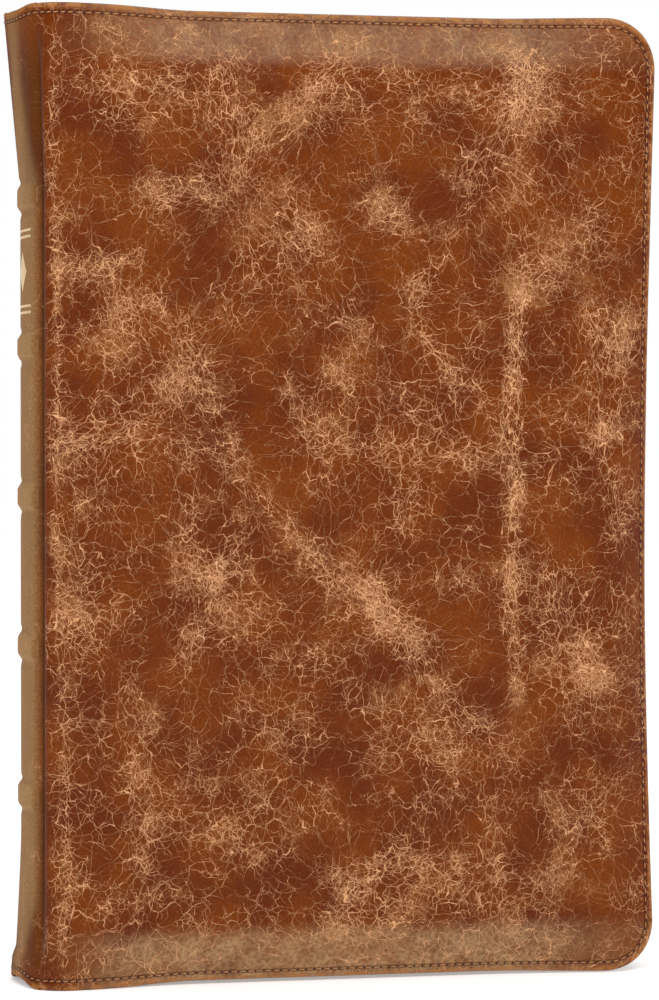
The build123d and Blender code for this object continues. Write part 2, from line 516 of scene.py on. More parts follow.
def write_map(piece, name, points):
    """Give a piece a UV map from one (u, v) per vertex."""
    layer = piece.data.uv_layers.new(name=name)
    corners = np.zeros(len(piece.data.loops), dtype=np.int32)
    piece.data.loops.foreach_get("vertex_index", corners)
    layer.data.foreach_set("uv", np.asarray(points, dtype=np.float32)[corners].ravel())


def write_values(piece, name, values):
    """Give a piece one number per vertex under a name that its material reads."""
    attribute = piece.data.attributes.new(name, "FLOAT", "POINT")
    attribute.data.foreach_set("value", np.asarray(values, dtype=np.float32))


def rounded_depth(depth, thickness, distance, rim):
    """Round a sheet's free edge over by rim, from both faces."""
    if distance >= rim:
        return depth
    drop = rim - math.sqrt(max(0.0, rim**2 - (rim - distance) ** 2))
    half = thickness / 2
    return half + (depth - half) * (half - min(drop, half * 0.82)) / half


def place_all(piece, place):
    """Move every vertex of a flat block to its place on the book."""
    for vertex in piece.data.vertices:
        vertex.co = place(vertex.co.x, vertex.co.y, -vertex.co.z)
    piece.data.update()


def outward(piece):
    """Turn every face of a closed piece outwards and keep its borders crisp."""
    start_clean()
    bpy.context.view_layer.objects.active = piece
    piece.select_set(True)
    bpy.ops.object.mode_set(mode="EDIT")
    bpy.ops.mesh.select_all(action="SELECT")
    bpy.ops.mesh.normals_make_consistent(inside=False)
    bpy.ops.object.mode_set(mode="OBJECT")
    bpy.ops.object.shade_smooth_by_angle(angle=math.radians(60))


def dress(piece, *materials):
    """Put materials in a piece's slots."""
    for material in materials:
        piece.data.materials.append(material)


# ------------------------------------------------------------------ the drawn creases
# Each crease: how hard it pulls, how torn it is, its half width in mm, and its points as
# (reach from the joint, height above the tail) in mm. Patches pull less than long creases, and
# the line beside the joint pulls least.
PATCH = 0.62
LONG = 0.95
SEAM = 0.3
CREASES = (
    (PATCH, 1.00, 6.5, ((112, 155), (118, 157))),
    (PATCH, 0.95, 4.5, ((69, 147), (73, 145))),
    (PATCH, 0.90, 3.6, ((68, 135), (70, 134))),
    (PATCH, 0.85, 4.5, ((79, 171), (84, 168))),
    (PATCH, 0.95, 5.0, ((28, 173), (38, 174))),
    (PATCH, 0.62, 9.0, ((46, 182), (58, 190))),
    (PATCH, 0.70, 8.0, ((96, 196), (112, 198))),
    (PATCH, 0.60, 7.0, ((102, 178), (112, 172))),
    (PATCH, 0.70, 5.0, ((126, 168), (129, 162))),
    (PATCH, 0.60, 6.0, ((135, 146), (134, 134))),
    (PATCH, 0.60, 9.0, ((38, 88), (44, 80))),
    (PATCH, 0.66, 7.0, ((74, 88), (82, 80))),
    (PATCH, 0.68, 7.5, ((120, 70), (126, 66))),
    (PATCH, 0.60, 7.0, ((88, 55), (95, 48))),
    (PATCH, 0.60, 8.0, ((6, 121), (26, 122))),
    (PATCH, 0.62, 9.0, ((20, 145), (32, 136))),
    (PATCH, 0.62, 9.0, ((52, 168), (60, 160))),
    (PATCH, 0.50, 7.0, ((8, 84), (12, 74))),
    (PATCH, 0.50, 8.0, ((40, 38), (50, 34))),
    (PATCH, 0.52, 8.0, ((116, 42), (122, 36))),
    (PATCH, 0.50, 8.0, ((20, 196), (36, 200))),
    (PATCH, 0.55, 7.0, ((66, 198), (82, 201))),
    (PATCH, 0.45, 9.0, ((70, 14), (110, 12))),
    (LONG, 0.90, 2.1, ((110, 152), (108.5, 128), (109, 104), (108, 84), (110, 62))),
    (LONG, 0.51, 4.0, ((126, 150), (129, 128), (134, 100))),
    (SEAM, 0.62, 1.5, ((5.5, 208), (5.0, 175), (6.5, 140), (5.5, 100), (7.5, 60), (8.0, 20), (7.0, 6))),
    (LONG, 0.51, 5.0, ((44, 204), (47, 176))),
    (LONG, 0.42, 4.0, ((32, 134), (36, 108), (34, 92))),
    (LONG, 0.42, 4.0, ((104, 58), (106, 28), (102, 16))),
    (LONG, 0.38, 4.0, ((60, 130), (64, 108))),
    (LONG, 0.38, 3.5, ((20, 70), (26, 40), (24, 20))),
    (LONG, 0.64, 3.4, ((34, 142), (46, 112), (66, 92), (88, 76))),
    (LONG, 0.58, 3.4, ((64, 96), (80, 78), (98, 58), (112, 46))),
    (LONG, 0.51, 2.4, ((84, 148), (96, 134), (108, 120))),
    (LONG, 0.42, 4.0, ((116, 90), (126, 68))),
    (LONG, 0.38, 4.0, ((50, 60), (70, 36))),
    (LONG, 0.38, 3.0, ((56, 176), (72, 150))),
    (LONG, 0.55, 4.0, ((98, 178), (106, 190), (113, 204))),
    (LONG, 0.51, 4.0, ((34, 72), (42, 90), (48, 102))),
    (LONG, 0.42, 4.0, ((60, 196), (70, 206))),
    (LONG, 0.42, 3.5, ((84, 150), (92, 160), (98, 172))),
    (LONG, 0.38, 4.0, ((120, 24), (134, 44))),
    (LONG, 0.51, 3.5, ((2, 119), (24, 123), (46, 117))),
    (LONG, 0.42, 3.0, ((60, 120), (82, 116), (106, 116))),
    (LONG, 0.42, 3.5, ((2, 60), (26, 58))),
    (LONG, 0.42, 4.0, ((68, 24), (96, 26), (116, 22))),
    (LONG, 0.34, 3.0, ((8, 156), (24, 160))),
)


def follow_line(points, line):
    """For many points, the way from a bent line to each, how far along the line, and on which side."""
    offset = np.full(points.shape, 1e6)
    run_length = np.zeros(len(points))
    side = np.ones(len(points))
    passed = 0.0
    for start, end in zip(line[:-1], line[1:]):
        start = np.array(start, float)
        run = np.array(end, float) - start
        length = np.linalg.norm(run)
        share = ((points - start) @ run) / length**2
        here = points - start - np.clip(share, 0.0, 1.0)[:, None] * run
        nearer = np.linalg.norm(here, axis=1) < np.linalg.norm(offset, axis=1)
        offset[nearer] = here[nearer]
        run_length[nearer] = passed + share[nearer] * length
        side[nearer] = np.sign(run[0] * here[nearer, 1] - run[1] * here[nearer, 0])
        passed += length
    return offset, run_length, side


def write_creases(piece, points, gain):
    """Store how torn the leather is at each vertex, and two maps that its patterns are laid on.

    Points are in millimetres. A pattern laid on the drawn map gets finer towards each crease and
    sends branches out beside it. The strand map runs along the nearest long crease.
    """
    points = np.asarray(points, float)
    torn = np.zeros(len(points))
    tight = np.zeros(len(points))
    pulled = np.zeros(len(points))
    drawn = points.copy()
    strands = points.copy()
    for number, (pull, strength, width, line) in enumerate(CREASES):
        offset, run_length, side = follow_line(points, line)
        away = np.linalg.norm(offset, axis=1)
        share = (away / (width * 1.7)) ** 2
        wide = np.exp(-share) * strength * gain * pull
        near = np.exp(-(away / width) ** 2) * strength * gain
        tight += wide * (1.0 - 2.0 * share)
        drawn += offset * wide[:, None]
        if pull == PATCH:
            torn = np.maximum(torn, near)
            continue
        torn = np.maximum(torn, near * 0.72)
        nearest = near > pulled
        strands[nearest, 0] = run_length[nearest] + 150.0 * number
        strands[nearest, 1] = (side * away)[nearest]
        pulled = np.maximum(pulled, near)
    burnished = 1.0 - np.clip((points[:, 0] - 2.5) / 3.5, 0.0, 1.0)
    write_values(piece, "torn", torn - 0.6 * burnished)
    write_values(piece, "pulled", pulled * (1.0 - 0.7 * burnished))
    write_values(piece, "tight", np.clip(tight, -0.6, 2.2))
    write_map(piece, "drawn", drawn * MM)
    write_map(piece, "strands", strands * MM)


# ------------------------------------------------------------------ materials
class Shader:
    """A material whose nodes are added step by step; each step gives back a socket."""

    def __init__(self, name):
        self.material = bpy.data.materials.new(name)
        self.material.use_nodes = True
        self.tree = self.material.node_tree
        self.surface = self.tree.nodes["Principled BSDF"]

    def feed(self, socket, value):
        """Set a socket, or link it."""
        if isinstance(value, bpy.types.NodeSocket):
            self.tree.links.new(value, socket)
        else:
            socket.default_value = value

    def math(self, operation, first, second=0.0, third=0.0):
        """One sum."""
        node = self.tree.nodes.new("ShaderNodeMath")
        node.operation = operation
        for socket, value in zip(node.inputs, (first, second, third)):
            self.feed(socket, value)
        return node.outputs[0]

    def ramp(self, value, low, high, start=0.0, end=1.0):
        """An eased turn from start to end as value goes from low to high."""
        node = self.tree.nodes.new("ShaderNodeMapRange")
        node.interpolation_type = "SMOOTHSTEP"
        for name, given in (("Value", value), ("From Min", low), ("From Max", high),
                            ("To Min", start), ("To Max", end)):
            self.feed(node.inputs[name], given)
        return node.outputs[0]

    def map(self, name):
        """The piece's own UV map, in millimetres."""
        node = self.tree.nodes.new("ShaderNodeUVMap")
        node.uv_map = name
        return self.scale(node.outputs[0], (1.0 / MM, 1.0 / MM, 1.0))

    def place(self):
        """Object coordinates, in millimetres."""
        node = self.tree.nodes.new("ShaderNodeTexCoord")
        return self.scale(node.outputs["Object"], (1.0 / MM, 1.0 / MM, 1.0 / MM))

    def scale(self, vector, factors, turn=0.0):
        """A vector turned about Z and then stretched."""
        node = self.tree.nodes.new("ShaderNodeMapping")
        node.vector_type = "POINT"
        self.feed(node.inputs["Vector"], vector)
        if turn:
            spin = self.tree.nodes.new("ShaderNodeVectorRotate")
            spin.rotation_type = "Z_AXIS"
            self.feed(spin.inputs["Vector"], vector)
            spin.inputs["Angle"].default_value = math.radians(turn)
            self.feed(node.inputs["Vector"], spin.outputs[0])
        node.inputs["Scale"].default_value = factors
        return node.outputs[0]

    def value(self, name):
        """A number stored on the piece."""
        node = self.tree.nodes.new("ShaderNodeAttribute")
        node.attribute_name = name
        return node.outputs["Fac"]

    def parts(self, vector):
        """The three numbers of a vector."""
        node = self.tree.nodes.new("ShaderNodeSeparateXYZ")
        self.feed(node.inputs[0], vector)
        return node.outputs

    def noise(self, vector, size, detail=2.0, rough=0.5, colour=False, flat=True):
        """Soft noise whose grain is about size millimetres."""
        node = self.tree.nodes.new("ShaderNodeTexNoise")
        node.noise_dimensions = "2D" if flat else "3D"
        self.feed(node.inputs["Vector"], vector)
        node.inputs["Scale"].default_value = 1.0 / size
        node.inputs["Detail"].default_value = detail
        node.inputs["Roughness"].default_value = rough
        return node.outputs["Color" if colour else "Fac"]

    def cells(self, vector, size, width):
        """Thin lines between cells of about size millimetres; width is in millimetres."""
        node = self.tree.nodes.new("ShaderNodeTexVoronoi")
        node.voronoi_dimensions = "2D"
        node.feature = "DISTANCE_TO_EDGE"
        self.feed(node.inputs["Vector"], vector)
        node.inputs["Scale"].default_value = 1.0 / size
        away = self.math("MULTIPLY", node.outputs["Distance"], size)
        return self.ramp(self.math("DIVIDE", away, width), 0.18, 0.75, 1.0, 0.0)

    def shift(self, vector, size, amount, detail=2.0):
        """A vector pushed about by noise, by up to about amount millimetres."""
        push = self.tree.nodes.new("ShaderNodeVectorMath")
        push.operation = "MULTIPLY_ADD"
        self.feed(push.inputs[0], self.noise(vector, size, detail, 0.5, colour=True))
        push.inputs[1].default_value = (2 * amount, 2 * amount, 0.0)
        centre = self.tree.nodes.new("ShaderNodeVectorMath")
        centre.operation = "SUBTRACT"
        self.feed(centre.inputs[0], vector)
        centre.inputs[1].default_value = (amount, amount, 0.0)
        self.feed(push.inputs[2], centre.outputs[0])
        return push.outputs[0]

    def blend(self, share, first, second):
        """One colour turning into another."""
        node = self.tree.nodes.new("ShaderNodeMix")
        node.data_type = "RGBA"
        self.feed(node.inputs["Factor"], share)
        for number, value in ((6, first), (7, second)):
            linked = isinstance(value, bpy.types.NodeSocket)
            self.feed(node.inputs[number], value if linked else (*value, 1.0))
        return node.outputs[2]

    def tint(self, colour, factor):
        """A colour made lighter or darker."""
        node = self.tree.nodes.new("ShaderNodeVectorMath")
        node.operation = "SCALE"
        self.feed(node.inputs[0], colour)
        self.feed(node.inputs["Scale"], factor)
        return node.outputs[0]

    def largest(self, *values):
        """The largest of several numbers."""
        found = values[0]
        for value in values[1:]:
            found = self.math("MAXIMUM", found, value)
        return found

    def product(self, *values):
        """Several numbers multiplied."""
        found = values[0]
        for value in values[1:]:
            found = self.math("MULTIPLY", found, value)
        return found

    def relief(self, height, depth, chain=None):
        """Bump of a given depth in metres."""
        node = self.tree.nodes.new("ShaderNodeBump")
        node.inputs["Strength"].default_value = 1.0
        node.inputs["Distance"].default_value = depth
        self.feed(node.inputs["Height"], height)
        if chain is not None:
            self.feed(node.inputs["Normal"], chain)
        return node.outputs[0]

    def set(self, **values):
        """Set or link inputs of the surface; underscores stand for spaces."""
        for name, value in values.items():
            socket = self.surface.inputs[name.replace("_", " ")]
            if socket.type == "RGBA" and not isinstance(value, bpy.types.NodeSocket):
                value = (*value, 1.0)
            self.feed(socket, value)
        return self.material


# Each layer of crackle: the size of its cells in mm, the width of its lines in mm, and how torn
# the leather is where it starts and where it is full.
CRACKLE = (
    (5.2, 0.105, 0.18, 0.44),
    (2.9, 0.098, 0.38, 0.64),
    (1.6, 0.086, 0.60, 0.90),
    (1.0, 0.074, 0.86, 1.16),
)

# Each set of wandering strands: the way it runs in degrees, and then the same four numbers.
WANDERING = (
    (12.0, 3.4, 0.098, 0.10, 0.42),
    (74.0, 3.0, 0.098, 0.10, 0.42),
    (131.0, 3.2, 0.098, 0.10, 0.42),
    (40.0, 1.5, 0.080, 0.50, 0.82),
    (105.0, 1.6, 0.080, 0.50, 0.82),
)


def crackle(shader, drawn, torn, tight):
    """Pale torn lines in four sizes, each where the leather is torn enough."""
    lines = []
    for number, (size, width, start, full) in enumerate(CRACKLE):
        moved = shader.scale(drawn, (1.0, 1.0, 1.0), 17.0 * number + 5.0)
        bent = shader.shift(shader.shift(moved, size * 1.1, size * 0.34), size * 0.26, size * 0.13)
        line = shader.cells(bent, size, shader.math("MULTIPLY_ADD", tight, width, width))
        fade = shader.ramp(shader.noise(moved, size * 0.5 + 0.8, 1.0), 0.30, 0.62, 0.45, 1.0)
        lines.append(shader.product(line, fade, shader.ramp(torn, start, full)))
    return shader.largest(*lines)


def wandering_lines(shader, drawn, torn, tight):
    """Pale strands that wander one way in one place and another way in the next."""
    lines = []
    for turn, size, width, start, full in WANDERING:
        moved = shader.scale(drawn, (1.0, 1.0, 1.0), turn)
        bent = shader.shift(shader.shift(moved, size * 2.4, size * 0.85), size * 0.4, size * 0.11)
        stretched = shader.scale(bent, (0.48, 1.0, 1.0))
        line = shader.cells(stretched, size, shader.math("MULTIPLY_ADD", tight, width, width))
        here = shader.ramp(shader.noise(moved, 19.0, 1.0), 0.38, 0.52)
        broken = shader.ramp(shader.noise(moved, size * 0.7, 1.0), 0.34, 0.56, 0.5, 1.0)
        lines.append(shader.product(line, here, broken, shader.ramp(torn, start, full)))
    return shader.largest(*lines)


def strand_lines(shader):
    """Long pale strands that run side by side along each long crease."""
    laid = shader.map("strands")
    bent = shader.shift(shader.shift(laid, 3.2, 0.75), 0.9, 0.22)
    stretched = shader.scale(bent, (0.30, 1.0, 1.0))
    coarse = shader.cells(stretched, 1.3, 0.085)
    broken = shader.ramp(shader.noise(laid, 1.6, 2.0), 0.36, 0.56, 0.25, 0.95)
    ragged = shader.math("MULTIPLY_ADD", shader.noise(laid, 4.0, 2.0), 0.8, -0.4)
    shown = shader.ramp(shader.math("ADD", shader.value("pulled"), ragged), 0.22, 0.60)
    return shader.product(coarse, broken, shown)


# Painted shade: the near-black brown laid on the leather down in the groove beside the spine.
GROOVE_SHADE = (0.055, 0.017, 0.001)


# How much each thing tears the leather: the creases, and noise in three sizes. The noises average
# a half, so half of each is taken off again.
CREASE_TEAR = 0.38
MIDDLE_TEAR = 1.15
BROAD_TEAR = 0.50
FINE_TEAR = 0.40
TEAR_START = 0.46 - MIDDLE_TEAR / 2 - BROAD_TEAR / 2 - FINE_TEAR / 2
SPINE_CALM = 0.34


def how_torn(shader, sheet, fine, spine_tan):
    """How torn the leather is: above 0 lines begin, and about 1 it is torn all over."""
    torn = shader.math("MULTIPLY_ADD", shader.value("torn"), CREASE_TEAR, TEAR_START)
    torn = shader.math("MULTIPLY_ADD", shader.noise(sheet, 8.5, 3.0), MIDDLE_TEAR, torn)
    torn = shader.math("MULTIPLY_ADD", shader.noise(sheet, 28.0, 2.0), BROAD_TEAR, torn)
    torn = shader.math("MULTIPLY_ADD", fine, FINE_TEAR, torn)
    if spine_tan:
        torn = shader.math("SUBTRACT", torn, SPINE_CALM)
    return torn


def torn_lines(shader, torn):
    """All the pale lines in the leather."""
    drawn = shader.map("drawn")
    tight = shader.value("tight")
    lines = shader.largest(crackle(shader, drawn, torn, tight), wandering_lines(shader, drawn, torn, tight))
    lines = shader.product(lines, shader.ramp(torn, 0.15, 0.85, 0.50, 1.0))
    return shader.largest(lines, strand_lines(shader))


def leather_skin(shader, sheet, torn, spine_tan):
    """The skin under the lines: two browns; tan on the spine from rubbing, with a painted highlight on the bands and
    painted shade beside its creases; and dustiness with a painted sheen on the bends.
    """
    tone = colours()
    cloud = shader.noise(sheet, 15.0, 4.0)
    skin = shader.blend(shader.ramp(cloud, 0.28, 0.72), tuple(tone.leather_dark), tuple(tone.leather))
    if spine_tan:
        # The spine's tan from rubbing, with a painted highlight on the bands and painted shade beside its creases.
        skin = shader.blend(shader.value("rubbed"), skin, tuple(tone.spine))
    skin = shader.tint(skin, shader.ramp(shader.noise(sheet, 0.55, 2.0), 0.30, 0.70, 0.84, 1.18))
    skin = shader.blend(shader.ramp(torn, 0.55, 1.15, 0.0, 0.4), skin, tuple(tone.worn))
    drift = shader.ramp(shader.noise(sheet, 5.0, 4.0), 0.28, 0.70, 0.30, 0.62)
    wrinkle = shader.ramp(shader.noise(sheet, 0.9, 3.0), 0.36, 0.60, 0.6, 1.15)
    # Dustiness and a painted sheen on the bent overhang at head and tail.
    return shader.blend(shader.product(shader.value("dusty"), drift, wrinkle), skin, tuple(tone.dust))


def crackled_leather(name, spine_tan=False):
    """Waxed, pulled leather: smooth dark skin broken by pale crackle, with edges in an orange tone that is partly wear
    and partly a painted highlight, and a painted shadow along the very edge.
    """
    tone = colours()
    shader = Shader(name)
    sheet = shader.map("sheet")
    edge = shader.value("edge")
    fine = shader.noise(sheet, 2.2, 2.0)
    torn = how_torn(shader, sheet, fine, spine_tan)
    lines = torn_lines(shader, torn)
    face = shader.blend(lines, leather_skin(shader, sheet, torn, spine_tan), tuple(tone.crease))
    # Painted shade in the groove beside the spine, and beside the spine's creases near head and tail.
    face = shader.blend(shader.value("crevice"), face, GROOVE_SHADE)
    # Orange within 1.7 mm of the free edge: partly wear, partly a painted highlight on the rounded edge.
    wear_and_highlight = shader.product(shader.ramp(edge, 0.5, 1.7, 1.0, 0.0), shader.ramp(fine, 0.38, 0.62, 0.15, 0.8))
    face = shader.blend(wear_and_highlight, face, tuple(tone.worn))
    # Painted shadow: the darkest leather tone along the outermost 0.2 mm of the free edge.
    face = shader.blend(shader.ramp(edge, 0.03, 0.22, 0.85, 0.0), face, tuple(tone.leather_dark))
    from_seam = shader.math("ABSOLUTE", shader.math("SUBTRACT", edge, STITCH_INSET / MM))
    seam = shader.ramp(from_seam, 0.1, 0.6, 1.0, 0.0)
    face = shader.blend(shader.product(seam, 0.35), face, tuple(tone.leather_dark))
    grain = shader.relief(shader.noise(sheet, 0.5, 2.0), 0.00008)
    ridged = shader.relief(lines, 0.00008, grain)
    sewn = shader.relief(seam, -0.00035, ridged)
    calm = 0.30 if spine_tan else 0.0
    dull = shader.math("MULTIPLY_ADD", lines, 0.14, shader.ramp(fine, 0.3, 0.7, 0.36 + calm, 0.46 + calm))
    dull = shader.largest(dull, shader.product(shader.value("crevice"), 0.95))
    return shader.set(Base_Color=face, Roughness=dull, Normal=sewn,
                      Specular_IOR_Level=0.08 if spine_tan else 0.13)


def plain_leather(name, colour, grain_size, depth):
    """Smooth leather with an even pebble grain."""
    shader = Shader(name)
    sheet = shader.map("sheet")
    cloud = shader.noise(sheet, 14.0, 3.0)
    pebble = shader.noise(sheet, grain_size, 2.0)
    dark = tuple(channel * 0.7 for channel in colour)
    face = shader.blend(shader.ramp(cloud, 0.3, 0.7), dark, tuple(colour))
    return shader.set(Base_Color=face, Roughness=shader.ramp(pebble, 0.2, 0.8, 0.42, 0.6),
                      Normal=shader.relief(pebble, depth))


def waxed_thread(name):
    """Twisted linen thread, mottled dark and pale."""
    shader = Shader(name)
    place = shader.place()
    twist = shader.noise(place, 0.5, 2.0, flat=False)
    tone = tuple(colours().thread)
    dark = tuple(channel * 0.55 for channel in tone)
    return shader.set(Base_Color=shader.blend(twist, dark, tone), Roughness=0.6,
                      Normal=shader.relief(twist, 0.0001))


def needle_hole(name):
    """Painted shade that stands for the dark inside a needle hole."""
    shader = Shader(name)
    dust = shader.noise(shader.place(), 0.6, 1.0, flat=False)
    face = shader.blend(dust, (0.025, 0.007, 0.003), (0.07, 0.016, 0.006))
    return shader.set(Base_Color=face, Roughness=0.9)


def paper(name, colour):
    """Thin paper with a faint cloudiness."""
    shader = Shader(name)
    place = shader.place()
    fibre = shader.noise(place, 1.2, 3.0, flat=False)
    cloud = shader.noise(place, 18.0, 2.0, flat=False)
    dark = tuple(channel * 0.93 for channel in colour)
    return shader.set(Base_Color=shader.blend(cloud, dark, tuple(colour)), Roughness=0.85,
                      Normal=shader.relief(fibre, 0.00003))


def gilt(name, rough):
    """Burnished gold leaf with fine streaks along the leaves."""
    shader = Shader(name)
    place = shader.place()
    streak = shader.noise(shader.scale(place, (0.25, 6.0, 0.25)), 1.0, 3.0, flat=False)
    tone = tuple(colours().gilt)
    dark = (tone[0] * 0.62, tone[1] * 0.55, tone[2] * 0.45)
    return shader.set(Base_Color=shader.blend(shader.ramp(streak, 0.3, 0.75), dark, tone), Metallic=0.9,
                      Roughness=rough, Normal=shader.relief(streak, 0.00004))


def wound_silk(name):
    """Silk wound over a cord in two colours."""
    shader = Shader(name)
    along = shader.parts(shader.map("sheet"))[0]
    stripe = shader.ramp(shader.math("SINE", shader.product(along, 2 * math.pi / 1.5)), -0.2, 0.2)
    ply = shader.math("SINE", shader.product(along, 2 * math.pi / 0.25))
    return shader.set(Base_Color=shader.blend(stripe, (0.62, 0.50, 0.30), (0.22, 0.03, 0.02)), Roughness=0.5,
                      Normal=shader.relief(ply, 0.00008))


def mull(name):
    """Open-weave cotton stiffened with glue."""
    shader = Shader(name)
    across, up = shader.parts(shader.map("sheet"))[:2]
    warp = shader.math("SINE", shader.product(across, 2 * math.pi / 0.9))
    weft = shader.math("SINE", shader.product(up, 2 * math.pi / 0.9))
    weave = shader.largest(warp, weft)
    face = shader.blend(shader.ramp(weave, 0.0, 1.0), (0.42, 0.36, 0.26), (0.70, 0.65, 0.54))
    return shader.set(Base_Color=face, Roughness=0.85, Normal=shader.relief(weave, 0.0001))


MATERIALS = {}


def material(name, maker, *settings):
    """A material by name, made once."""
    if name not in MATERIALS:
        MATERIALS[name] = maker(name, *settings)
    return MATERIALS[name]


# ------------------------------------------------------------------ the covers
# How far in from its free edge the cover leather is rounded over.
COVER_RIM = 1.15 * MM
SIDES = (("front", -1, "text_front"), ("back", 1, "text_rear"))


def cover_bend_zone(side):
    """Where the leather starts to turn with a cover, and where it has turned with it."""
    start = Vector((HINGE.x - 0.2 * MM, -side * (HINGE.y + 1.5 * MM), COVER_HEIGHT / 2))
    end = Vector((HINGE.x + 3.0 * MM, -side * (HINGE.y - 1.0 * MM), COVER_HEIGHT / 2))
    return start, end


def sheen_and_dust_share(along, height):
    """How far the bent overhang is greyed, partly as dustiness and partly as a painted sheen: most at the tail, some
    at the head, none by the spine.
    """
    tail = 1.0 - smooth(height, HEAD_OVERHANG - 3.0 * MM, HEAD_OVERHANG + 2.0 * MM)
    head = 1.0 - smooth(COVER_HEIGHT - height, HEAD_OVERHANG - 3.0 * MM, HEAD_OVERHANG + 1.5 * MM)
    near_fore_edge = smooth(along, SHEET_WIDTH - 36 * MM, SHEET_WIDTH - 12 * MM)
    reach = smooth(along, 3 * MM, 30 * MM) * (1.0 - 0.7 * near_fore_edge)
    return (1.1 * tail + 0.60 * head) * reach


def shade_beside_joint(distance, height):
    """How much painted shade lies down in the groove beside the spine."""
    return 0.9 * (1.0 - smooth(distance, 1.7 * MM, 3.2 * MM)) * opening_share(height)


def cover_leather(half, side, text_body):
    """The outer leather of one cover, from its crease to its edges."""
    columns, rows = 112, 172
    corner = shape().corner
    name = f"{half}_cover_hide"
    block = sheet_block(name, SHEET_WIDTH, COVER_HEIGHT, COVER_THICKNESS, columns, rows, corner)
    uv, edges, spots, dusty, crevice = [], [], [], [], []
    rim = COVER_RIM
    for vertex in block.data.vertices:
        along, up, depth = vertex.co.x, vertex.co.y, -vertex.co.z
        distance = edge_distance(along, up, SHEET_WIDTH, COVER_HEIGHT, corner)
        under = depth if distance < rim else 0.0
        uv.append((side * (SPINE_HALF + along + under), up + (under if up > COVER_HEIGHT / 2 else -under)))
        edges.append(distance / MM)
        # Dustiness and a painted sheen on the bent overhang.
        dusty.append(sheen_and_dust_share(along, up))
        # Painted shade down in the groove beside the spine.
        crevice.append(shade_beside_joint(along, up))
        spots.append((along / MM, (up if side < 0 else COVER_HEIGHT - up) / MM))
        vertex.co.z = -rounded_depth(depth, COVER_THICKNESS, distance, rim)
    write_map(block, "sheet", uv)
    write_values(block, "edge", edges)
    write_values(block, "dusty", dusty)
    write_values(block, "crevice", crevice)
    write_creases(block, spots, 1.0)
    place_all(block, lambda along, up, depth: cover_place(side, along, up, depth))
    outward(block)
    dress(block, material("crackled_leather", crackled_leather))
    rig.replaces(block, f"{half}_cover_leather")
    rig.slot(block, "cover_leather")
    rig.blend(block, text_body, f"{half}_cover", *cover_bend_zone(side))
    return block


def cover_layer(name, side, margin, outer, inner, columns, rows, rim):
    """A sheet inside a cover, brought in from its edges and bent with it."""
    width = SHEET_WIDTH - JOINT_LENGTH - margin
    height = COVER_HEIGHT - 2 * margin
    corner = shape().corner - margin
    block = sheet_block(name, width, height, inner - outer, columns, rows, corner)
    uv = []
    for vertex in block.data.vertices:
        distance = edge_distance(vertex.co.x, vertex.co.y, width, height, corner)
        uv.append((side * (vertex.co.x - vertex.co.z), vertex.co.y))
        vertex.co.z = -rounded_depth(-vertex.co.z, inner - outer, distance, rim)
    write_map(block, "sheet", uv)
    place_all(block, lambda along, up, depth: cover_place(
        side, JOINT_LENGTH + along, margin + up, outer + depth))
    outward(block)
    return block


def cover_lining(half, side):
    """The lining, seen when the cover is open."""
    outer = COVER_THICKNESS - LINING_THICKNESS
    proud = COVER_THICKNESS + 0.08 * MM
    block = cover_layer(f"{half}_lining", side, LINING_MARGIN, outer, proud, 60, 90, 0.25 * MM)
    dress(block, material("lining_leather", plain_leather, colours().lining, 0.7, 0.00007))
    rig.replaces(block, f"{half}_cover_lining")
    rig.slot(block, "lining")
    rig.ride(block, f"{half}_cover")


def cover_board(half, side):
    """The flexible board between the two leathers."""
    outer = COVER_THICKNESS - LINING_THICKNESS - BOARD_THICKNESS
    inner = outer + BOARD_THICKNESS * 0.96
    block = cover_layer(f"{half}_board", side, BOARD_MARGIN, outer, inner, 40, 60, 0.2 * MM)
    dress(block, material("board", paper, (0.42, 0.36, 0.27)))
    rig.replaces(block, f"{half}_cover_board")
    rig.slot(block, "board")
    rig.ride(block, f"{half}_cover")


# ------------------------------------------------------------------ the stitching
STITCH_SLANT = math.radians(9)
STITCH_SIZE = (0.58 * MM, 0.155 * MM, 0.15 * MM)
HOLE_RADIUS = 0.23 * MM
HOLE_DEPTH = 0.06 * MM
# The depth at which the thread lies, just proud of the outer face and of the lining's face.
OUTER_SEAT = -0.03 * MM
LINING_SEAT = COVER_THICKNESS + 0.10 * MM
# How far apart two points are taken to find which way the leather faces.
SEAT_STEP = 0.2 * MM


def stitch_model():
    """One stitch: a short fat thread, modelled once."""
    start_clean()
    bpy.ops.mesh.primitive_uv_sphere_add(segments=8, ring_count=6, radius=1.0)
    stitch = bpy.context.object
    bpy.ops.object.mode_set(mode="EDIT")
    bpy.ops.transform.rotate(value=math.pi / 2, orient_axis="Y", center_override=(0.0, 0.0, 0.0))
    bpy.ops.transform.resize(value=STITCH_SIZE)
    bpy.ops.object.mode_set(mode="OBJECT")
    return stitch


def hole_model():
    """One needle hole: a small dish that takes the hole's painted shade."""
    start_clean()
    bpy.ops.mesh.primitive_circle_add(vertices=8, radius=HOLE_RADIUS, fill_type="TRIFAN")
    hole = bpy.context.object
    bpy.ops.object.mode_set(mode="EDIT")
    bpy.ops.mesh.select_all(action="SELECT")
    bpy.ops.mesh.extrude_region_move(TRANSFORM_OT_translate={"value": (0.0, 0.0, HOLE_DEPTH)})
    bpy.ops.mesh.select_all(action="SELECT")
    bpy.ops.mesh.normals_make_consistent(inside=False)
    bpy.ops.object.mode_set(mode="OBJECT")
    return hole


def mesh_arrays(piece):
    """A model's points and faces, after which the model itself is removed."""
    points = np.array([vertex.co for vertex in piece.data.vertices], float)
    faces = [list(face.vertices) for face in piece.data.polygons]
    bpy.data.objects.remove(piece)
    return points, faces


